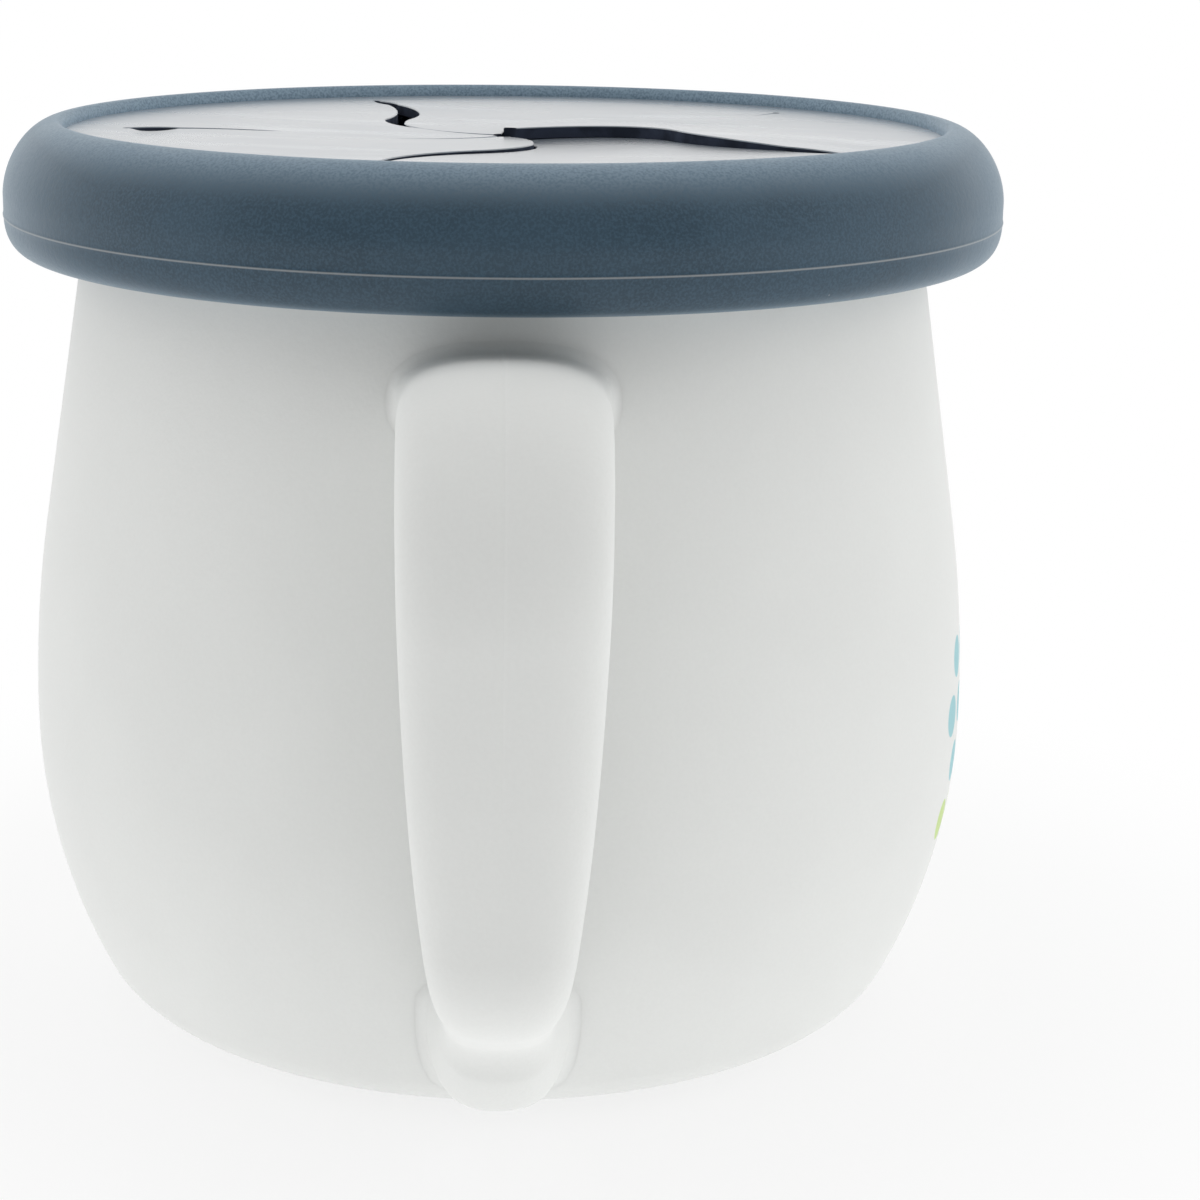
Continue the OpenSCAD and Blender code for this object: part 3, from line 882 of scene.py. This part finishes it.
@functools.cache
def grain_group():
    """Fine matte grain of silicone cast in a blasted mould: two sizes of noise, as a height and as a tone."""
    tree, given = new_group("Matte grain", Size=0.3 * MM)
    scale = calc("DIVIDE", 1.0, given["Size"])
    fine = noise(given["Vector"], scale, Detail=2.0)
    coarse = noise(given["Vector"], times(scale, 0.31), Detail=1.0)
    height = calc("MULTIPLY_ADD", coarse, 0.6, times(fine, 0.4))
    return close_group(tree, Height=height, Tone=remap(fine, *NOISE_MIDDLE, -1.0, 1.0))


@functools.cache
def mottle_group():
    """Slow drift of tone over a moulded surface, from -1 to 1, and its slight unevenness as a height."""
    tree, given = new_group("Slow mottle", Size=12 * MM)
    waves = noise(given["Vector"], calc("DIVIDE", 1.0, given["Size"]), Detail=3.0, Roughness=0.45)
    return close_group(tree, Tone=remap(waves, *NOISE_MIDDLE, -1.0, 1.0), Height=waves)


@functools.cache
def speck_group():
    """Sparse specks of lint: the middle of a few cells of a pattern, picked by each cell's own number."""
    tree, given = new_group("Lint specks", Spacing=6 * MM, Size=0.04, Share=0.3)
    scale = calc("DIVIDE", 1.0, given["Spacing"])
    cells = put(tree, "TexVoronoi", {"Vector": given["Vector"], "Scale": scale}).outputs
    chosen = put(tree, "SeparateColor", {"Color": cells["Color"]}).outputs
    picked = calc("LESS_THAN", chosen[0], given["Share"])
    size = times(given["Size"], calc("ADD", chosen[1], 0.35))
    return close_group(tree, Mask=times(remap(cells["Distance"], 0.0, size, 1.0, 0.0), picked))


@functools.cache
def band_group():
    """Soft band round the axis at one height: 1 on its line and 0 beyond its half width."""
    tree, given = new_group("Height band", Height=0.0, Half_width=0.1 * MM)
    off = calc("ABSOLUTE", calc("SUBTRACT", axes_of(given["Vector"])[2], given["Height"]))
    return close_group(tree, Mask=remap(calc("DIVIDE", off, given["Half width"]), 0.0, 1.0, 1.0, 0.0))


@functools.cache
def streak_and_highlight_group():
    """Faint flow streak and wipe marks, which also place the panel's painted highlight patches: noise drawn
    out along one direction, from 0 to 1.
    """
    tree, given = new_group("Flow streaks", Turn=0.3, Size=5 * MM)
    turn = put(tree, "CombineXYZ", {"Z": given["Turn"]}).outputs[0]
    inputs = {"Vector": given["Vector"], "Rotation": turn}
    turned = put(tree, "VectorRotate", inputs, rotation_type="EULER_XYZ").outputs[0]
    drawn = stretched(turned, (0.22, 1.0, 1.0))
    marks = noise(drawn, calc("DIVIDE", 1.0, given["Size"]), Detail=4.0, Roughness=0.55, Distortion=0.4)
    return close_group(tree, Mask=remap(marks, 0.48, 0.72))


@functools.cache
def dots_group():
    """Staggered rows of round dots on the cup's side, with a soft worn edge.

    The place along a row is the direction seen from the axis times the belly's radius, and the lowest row has
    a colour of its own.
    """
    tree, given = new_group("Printed dots", Radius=CUP_HIGH.x, Pitch=5 * MM, Dot=1.7 * MM, Low=18 * MM,
                            Rows=5.0, Middle=0.3, Half=0.6)
    pitch, radius = given["Pitch"], given["Radius"]
    x, y, z = axes_of(given["Vector"])
    around = calc("SUBTRACT", calc("ARCTAN2", y, x), given["Middle"])
    walked = calc("DIVIDE", times(around, radius), pitch)
    rise = calc("DIVIDE", calc("SUBTRACT", z, given["Low"]), pitch)
    row = calc("FLOOR", rise)
    odd = calc("MODULO", row, 2.0)
    shifted = calc("MULTIPLY_ADD", odd, 0.5, walked)
    cell = calc("FLOOR", shifted)
    along = calc("SUBTRACT", calc("SUBTRACT", shifted, cell), 0.5)
    across = calc("SUBTRACT", calc("SUBTRACT", rise, row), 0.5)
    away = calc("SQRT", calc("ADD", calc("POWER", along, 2.0), calc("POWER", across, 2.0)))
    size = calc("DIVIDE", given["Dot"], pitch)
    dot = remap(away, calc("SUBTRACT", size, 0.03), size, 1.0, 0.0)
    in_rows = times(calc("GREATER_THAN", rise, 0.0), calc("LESS_THAN", rise, given["Rows"]))
    middle = calc("SUBTRACT", calc("ADD", cell, 0.5), times(odd, 0.5))
    off_middle = calc("DIVIDE", times(calc("ABSOLUTE", middle), pitch), radius)
    in_width = calc("LESS_THAN", off_middle, given["Half"])
    on_outside = calc("GREATER_THAN", from_axis(given["Vector"]), times(radius, 0.955))
    mask = times(times(dot, in_rows), times(in_width, on_outside))
    return close_group(tree, Mask=mask, Row_colour=calc("GREATER_THAN", row, 0.5))


def effect(group, vector, **inputs):
    """Places a shared effect in a material, with its own values; returns its outputs."""
    values = {spaced(name): value for name, value in inputs.items()}
    return put(vector.id_data, "Group", {"Vector": vector, **values}, node_tree=group).outputs


# ---------------------------------------------------------------- materials


def linear(colour, factor=1.0):
    """A screen colour as the linear colour that a shader takes, with its brightness times factor."""
    c = np.clip(np.array(colour, float), 0, 1)
    c = np.where(c <= 0.04045, c / 12.92, ((c + 0.055) / 1.055) ** 2.4) * factor
    return (*np.clip(c, 0, 1), 1.0)


class Skin:
    """A material in the making: a Principled shader whose own sockets take the settings, fine grain, and a
    base colour that slow mottling takes from 1 - drift to 1 + drift times the given one."""

    def __init__(self, name, colour, drift, grain_size, mottle_size, **settings):
        self.material = bpy.data.materials.new(name)
        self.material.use_nodes = True
        tree = self.material.node_tree
        self.shader = tree.nodes["Principled BSDF"]
        for socket, value in settings.items():
            fill(self.shader.inputs[spaced(socket)], value)
        self.place = put(tree, "TexCoord").outputs["Object"]
        self.grain = effect(grain_group(), self.place, Size=grain_size)
        self.mottle = effect(mottle_group(), self.place, Size=mottle_size)
        self.base = blend_colour(spread(self.mottle["Tone"], 0.0, 1.0, "SMOOTHSTEP"),
                                 linear(colour, 1 - drift), linear(colour, 1 + drift))

    def paint(self, mask, colour, share):
        """Lays a colour over the base, at most by the share."""
        self.base = blend_colour(times(mask, share), self.base, colour)

    def lint(self, colour, share, spacing, size, part):
        """Lays specks of lint over the base, in that part of the cells."""
        specks = effect(speck_group(), self.place, Spacing=spacing, Size=size, Share=part)
        self.paint(specks["Mask"], colour, share)

    def done(self, rough, height, depth):
        """Links the base, the roughness and a height's normal to the shader; returns the material."""
        bump = put(self.material.node_tree, "Bump", {"Height": height, "Distance": depth, "Strength": 1.0})
        for socket, value in (("Base Color", self.base), ("Roughness", rough), ("Normal", bump.outputs[0])):
            fill(self.shader.inputs[socket], value)
        return self.material


@functools.cache
def frosted_silicone(printed=False):
    """Frosted white silicone: soft and matte, with fine grain, slow mottling and a few specks of lint."""
    finish = bpy.context.scene.snack_cup.finish
    name = "Printed frosted silicone" if printed else "Frosted silicone"
    skin = Skin(name, finish.frost, drift=0.01, grain_size=0.32 * MM, mottle_size=16 * MM, IOR=1.42,
                Subsurface_Weight=0.25, Subsurface_Radius=(1.0, 1.0, 1.0), Subsurface_Scale=1.2 * MM,
                Specular_IOR_Level=0.45)
    shade = spread(skin.grain["Tone"], 0.0, 0.05)
    skin.base = blend_colour(shade, skin.base, linear(finish.frost, 0.75))
    if printed:
        dots = effect(dots_group(), skin.place, Pitch=finish.dot_pitch, Dot=finish.dot_r,
                      Low=finish.print_low, Rows=float(finish.print_rows), Middle=finish.print_middle,
                      Half=finish.print_half)
        ink = blend_colour(dots["Row colour"], linear(finish.lime), linear(finish.teal))
        skin.paint(dots["Mask"], ink, share=0.75)
    skin.lint(linear(finish.slate, 1.6), share=0.5, spacing=9 * MM, size=0.035, part=0.22)
    rough = spread(skin.mottle["Tone"], 0.56, 0.64)
    return skin.done(rough, skin.grain["Height"], 0.035 * MM)


@functools.cache
def slate_silicone():
    """Matte slate silicone of the rim: grain, mottling, lint, a pale burr along the mould line, and painted
    light: a paler colour on the crest, on faces that look up, on the side towards the panel and where the
    surface is seen at a slant."""
    settings = bpy.context.scene.snack_cup
    finish, lid = settings.finish, settings.lid
    skin = Skin("Slate silicone", finish.slate, drift=0.07, grain_size=0.22 * MM, mottle_size=9 * MM,
                IOR=1.45, Specular_IOR_Level=0.4, Sheen_Weight=0.08, Sheen_Roughness=0.45,
                Sheen_Tint=(0.7, 0.88, 1.0, 1.0))
    tree = skin.material.node_tree
    # Painted light: the rim is made paler where it is seen at a slant, where it faces up, and on and inside
    # its crest, in place of glancing reflection and light from above.
    slanted = put(tree, "LayerWeight", {"Blend": 0.5}).outputs["Facing"]
    up = axes_of(put(tree, "TexCoord").outputs["Normal"])[2]
    away = from_axis(skin.place)
    _, crest, _ = lid_radii(lid)
    inner = remap(away, crest + 0.9 * MM, crest)
    pale = calc("MAXIMUM", remap(slanted, 0.4, 1.0, 0.0, 0.7), remap(up, 0.4, 1.0, 0.0, 0.9))
    pale = calc("MAXIMUM", pale, inner)
    # Painted reflection: the crest's inner side, towards the bright panel, is made paler still.
    wall = remap(away, crest - 0.2 * MM, crest - 1.1 * MM, 0.0, 0.8)
    light = remap(skin.grain["Tone"], -0.6, 1.0, 0.0, 0.5, "LINEAR")
    # Lays the painted light, the painted reflection on the inner side and the grain's lighter tone over the
    # base.
    for factor, colour in ((pale, linear(finish.painted_light)), (wall, linear(finish.painted_light, 1.9)),
                           (light, linear(finish.slate, 1.7))):
        skin.base = blend_colour(factor, skin.base, colour)
    burr = effect(band_group(), skin.place, Height=RIM_LOW.z + lid.flash_z, Half_width=lid.flash_w)
    skin.paint(burr["Mask"], linear(finish.frost, 0.6), share=0.5)
    skin.lint(linear(finish.frost), share=0.7, spacing=5 * MM, size=0.028, part=0.25)
    rough = spread(skin.mottle["Tone"], 0.4, 0.46)
    return skin.done(rough, skin.grain["Height"], 0.04 * MM)


@functools.cache
def panel_silicone():
    """Satin slate silicone of the thin panel: polished by its mould, with faint streak marks, slow waves,
    painted reflection in its lighter colour and painted highlight patches along the streak marks.
    """
    finish = bpy.context.scene.snack_cup.finish
    # Painted reflection: the base colour is lighter than the rim's slate, standing in for the panel's bright
    # glancing reflection.
    skin = Skin("Satin slate silicone", finish.panel, drift=0.07, grain_size=0.35 * MM, mottle_size=11 * MM,
                IOR=1.5, Specular_IOR_Level=0.7, Coat_Weight=1.0, Coat_Roughness=0.24, Coat_IOR=1.65,
                Sheen_Weight=0.25, Sheen_Roughness=0.3)
    streaks_and_highlights = effect(streak_and_highlight_group(), skin.place, Turn=0.25, Size=5 * MM)
    # Painted highlight: paler patches laid along the streak marks, partly the panel's own flow marks and
    # partly standing in for bright glancing patches.
    skin.paint(streaks_and_highlights["Mask"], linear(finish.panel, 2.4), share=0.25)
    worn = calc("MULTIPLY_ADD", streaks_and_highlights["Mask"], -0.08, 0.3)
    rough = calc("ADD", worn, times(skin.mottle["Tone"], 0.03))
    height = calc("MULTIPLY_ADD", skin.grain["Height"], 0.02, skin.mottle["Height"])
    return skin.done(rough, height, 0.1 * MM)


@functools.cache
def cut_silicone():
    """Raw cut side of the panel's silicone: darker and dull, with a fine grain and no polish."""
    finish = bpy.context.scene.snack_cup.finish
    skin = Skin("Cut slate silicone", finish.cut, drift=0.3, grain_size=0.2 * MM, mottle_size=2 * MM,
                IOR=1.3, Specular_IOR_Level=0.2)
    rough = spread(skin.grain["Tone"], 0.7, 0.85)
    return skin.done(rough, skin.grain["Height"], 0.04 * MM)


def place_piece(piece, body, node, material):
    """Makes a rigid piece ride on its body, stand for its CAD node and take its material."""
    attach(piece, body)
    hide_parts(node)
    piece.data.materials.append(material)


# ---------------------------------------------------------------- operators


class SNACK_CUP_OT_cup_body(bpy.types.Operator):
    """Build the pot-bellied cup with its printed dots"""

    bl_idname = "snack_cup.cup_body"
    bl_label = "Cup body"

    def execute(self, context):
        profile = cup_profile(context.scene.snack_cup.body)
        piece = revolve("cup_body", profile, CUP_TURNS, closed=False, sharp=CUP_SHARP)
        place_piece(piece, "cup", "cup_shell", frosted_silicone(printed=True))
        return {"FINISHED"}


class SNACK_CUP_OT_handle(bpy.types.Operator):
    """Build the loop handle with its fillets and parting line"""

    bl_idname = "snack_cup.handle"
    bl_label = "Handle"

    def execute(self, context):
        settings = context.scene.snack_cup
        piece = make_piece("loop_handle", *handle_surface(settings.handle, settings.body))
        place_piece(piece, "cup", "handle", frosted_silicone())
        return {"FINISHED"}


class SNACK_CUP_OT_lid_rim(bpy.types.Operator):
    """Build the lid's rounded rim with its mould line"""

    bl_idname = "snack_cup.lid_rim"
    bl_label = "Lid rim"

    def execute(self, context):
        profile = rim_profile(context.scene.snack_cup.lid)
        piece = revolve("rim_ring", profile, RIM_TURNS, closed=True, sharp=LID_SHARP)
        place_piece(piece, "lid", "lid_rim", slate_silicone())
        return {"FINISHED"}


class SNACK_CUP_OT_seal_lip(bpy.types.Operator):
    """Build the seal lip that hangs inside the cup's mouth"""

    bl_idname = "snack_cup.seal_lip"
    bl_label = "Seal lip"

    def execute(self, context):
        profile = lip_profile(context.scene.snack_cup.lid)
        piece = revolve("inner_seal", profile, LIP_TURNS, closed=True, sharp=LID_SHARP)
        place_piece(piece, "lid", "seal_lip", slate_silicone())
        return {"FINISHED"}


class SNACK_CUP_OT_panel_web(bpy.types.Operator):
    """Build the fixed web of the panel between the rim and the flaps"""

    bl_idname = "snack_cup.panel_web"
    bl_label = "Panel web"

    def execute(self, context):
        settings = context.scene.snack_cup
        profile = web_profile(settings.lid, settings.flaps)
        start = float(Slit(settings.flaps).around(profile[:, 0].min()))
        piece = revolve("panel_web", profile, WEB_TURNS, closed=True, start=start, sharp=CUT_SHARP)
        place_piece(piece, "lid", "lid_panel", panel_silicone())
        return {"FINISHED"}


class SNACK_CUP_OT_flaps(bpy.types.Operator):
    """Build the five curved flaps, each resting with its tip raised or sunk above the panel"""

    bl_idname = "snack_cup.flaps"
    bl_label = "Flaps"

    def execute(self, context):
        flaps = context.scene.snack_cup.flaps
        for number in range(FLAPS):
            node = f"flap_{number + 1}"
            points, quads, cut = flap_surface(flaps, number)
            piece = make_piece(f"soft_{node}", points, quads, sharp=CUT_SHARP)
            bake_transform(piece)
            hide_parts(node)
            piece.data.materials.append(panel_silicone())
            piece.data.materials.append(cut_silicone())
            piece.data.polygons.foreach_set("material_index", cut.astype(np.int32))
        return {"FINISHED"}


def lamp(name, place, size, level, aim):
    """A rectangular soft lamp at a place, turned to its aim; level is its brightness, where 1 is white.

    Neither the camera nor gloss sees it, because the white surroundings already stand behind it.
    """
    data = bpy.data.lights.new(name, "AREA")
    data.shape = "RECTANGLE"
    data.size, data.size_y = size
    data.energy = level * math.pi * size[0] * size[1]
    made = bpy.data.objects.new(name, data)
    made.location = place
    made.rotation_euler = (Vector(aim) - Vector(place)).to_track_quat("-Z", "Y").to_euler()
    made.visible_camera = False
    made.visible_glossy = False
    bpy.context.scene.collection.objects.link(made)


def white_for_view(tree, level, mirrored=1.0):
    """Strength that is 1 for camera rays, mirrored for glossy and transmission rays, and level for light.

    Also returns which rays are light.
    """
    path = put(tree, "LightPath").outputs
    camera = path["Is Camera Ray"]
    through = calc("MAXIMUM", path["Is Glossy Ray"], path["Is Transmission Ray"])
    lighting = calc("SUBTRACT", 1.0, calc("MAXIMUM", camera, through))
    light = times(lighting, level)
    shine = times(times(through, calc("SUBTRACT", 1.0, camera)), mirrored)
    return calc("ADD", camera, calc("ADD", shine, light)), lighting


def empty_tree(owner):
    """Node tree of a new material or world, without its nodes."""
    owner.use_nodes = True
    owner.node_tree.nodes.clear()
    return owner.node_tree


class SNACK_CUP_OT_stage(bpy.types.Operator):
    """Set up the camera, the pale floor, the white surroundings and the soft lamps"""

    bl_idname = "snack_cup.stage"
    bl_label = "Stage"

    def execute(self, context):
        stage = context.scene.snack_cup.stage
        self.camera(context.scene, stage)
        self.floor(stage)
        self.sky(context.scene, stage)
        aim = (0, 0, stage.aim_z)
        for name, (place, size) in LAMPS.items():
            lamp(name, place, size, getattr(stage, name.replace("lamp", "level")), aim)
        context.scene.view_settings.view_transform = "Standard"
        return {"FINISHED"}

    def camera(self, scene, stage):
        """Camera at its distance and height, looking at its aim, turned and rolled a little."""
        data = bpy.data.cameras.new("camera")
        data.lens = stage.lens
        data.sensor_width = 36
        data.shift_x = stage.shift_x
        data.clip_start = 0.01
        camera = bpy.data.objects.new("camera", data)
        flat = math.cos(stage.elevation)
        back = Vector((-flat * math.sin(stage.azimuth), -flat * math.cos(stage.azimuth),
                       math.sin(stage.elevation)))
        turn = (-back).to_track_quat("-Z", "Y").to_matrix().to_4x4()
        place = Matrix.Translation(Vector((0, 0, stage.aim_z)) + back * stage.distance)
        camera.matrix_world = place @ turn @ Matrix.Rotation(stage.roll, 4, "Z")
        scene.collection.objects.link(camera)
        scene.camera = camera

    def floor(self, stage):
        """A flat square of pale lit card: it looks white, keeps the object's shadow and throws light up."""
        half = stage.floor_size / 2
        corners = half * np.array([[-1, -1, 0], [1, -1, 0], [1, 1, 0], [-1, 1, 0]])
        floor = make_piece("floor", corners, np.array([[0, 1, 2, 3]]))
        material = bpy.data.materials.new("Pale floor")
        tree = empty_tree(material)
        strength, lighting = white_for_view(tree, stage.floor_level)
        away = from_axis(put(tree, "TexCoord").outputs["Object"])
        seen = calc("SUBTRACT", 1.0, lighting)
        to_eye = times(seen, remap(away, *FLOOR_SEEN))
        lit = times(remap(away, *FLOOR_FOOT, 0.0, stage.floor_glow), remap(away, *FLOOR_FAR))
        own = calc("ADD", to_eye, times(lighting, lit))
        card = put(tree, "BsdfDiffuse", {"Color": (0.86, 0.86, 0.86, 1)}).outputs[0]
        glow = put(tree, "Emission", {"Color": (1, 1, 1, 1), "Strength": strength}).outputs[0]
        mixed = put(tree, "MixShader", {0: own, 1: card, 2: glow}).outputs[0]
        put(tree, "OutputMaterial", {"Surface": mixed})
        floor.data.materials.append(material)

    def sky(self, scene, stage):
        """White surroundings as seen; as light, a level that rises from the camera's side to the far side."""
        world = bpy.data.worlds.new("Pale surroundings")
        scene.world = world
        tree = empty_tree(world)
        _, y, z = axes_of(put(tree, "TexCoord").outputs["Generated"])
        level = remap(y, -1.0, 1.0, stage.front_sky, stage.back_sky, "LINEAR")
        high = times(remap(z, *SKY_RISE, 0.0, stage.high_sky), remap(y, *SKY_SIDE))
        mirrored = remap(y, *SKY_MIRROR, stage.front_mirror, 1.0)
        strength, _ = white_for_view(tree, calc("ADD", level, high), mirrored)
        sky = put(tree, "Background", {"Color": (1, 1, 1, 1), "Strength": strength}).outputs[0]
        put(tree, "OutputWorld", {"Surface": sky})


class SNACK_CUP_PT_panel(bpy.types.Panel):
    """Sidebar panel with one button for each operator, and the settings"""

    bl_idname = "SNACK_CUP_PT_panel"
    bl_label = "Snack cup"
    bl_space_type = "VIEW_3D"
    bl_region_type = "UI"
    bl_category = "Snack cup"

    def draw(self, context):
        for operator in OPERATORS:
            self.layout.operator(operator.bl_idname)
        settings = context.scene.snack_cup
        for part in SnackCupSettings.__annotations__:
            group = getattr(settings, part)
            box = self.layout.box()
            for name in group.__annotations__:
                box.prop(group, name)


GROUP_CLASSES = (SnackCupBody, SnackCupHandle, SnackCupLid, SnackCupFlaps, SnackCupFinish, SnackCupStage,
                 SnackCupSettings)
OPERATORS = (SNACK_CUP_OT_stage, SNACK_CUP_OT_cup_body, SNACK_CUP_OT_handle, SNACK_CUP_OT_lid_rim,
             SNACK_CUP_OT_seal_lip, SNACK_CUP_OT_panel_web, SNACK_CUP_OT_flaps)
CLASSES = (*GROUP_CLASSES, *OPERATORS, SNACK_CUP_PT_panel)


def register():
    """Registers every class and adds the settings to the scene."""
    for cls in CLASSES:
        bpy.utils.register_class(cls)
    bpy.types.Scene.snack_cup = PointerProperty(type=SnackCupSettings)


def unregister():
    """Removes the settings and every class."""
    del bpy.types.Scene.snack_cup
    for cls in reversed(CLASSES):
        bpy.utils.unregister_class(cls)


def main():
    register()
    bpy.ops.snack_cup.stage()
    bpy.ops.snack_cup.cup_body()
    bpy.ops.snack_cup.handle()
    bpy.ops.snack_cup.lid_rim()
    bpy.ops.snack_cup.seal_lip()
    bpy.ops.snack_cup.panel_web()
    bpy.ops.snack_cup.flaps()


if __name__ == "__main__":
    main()
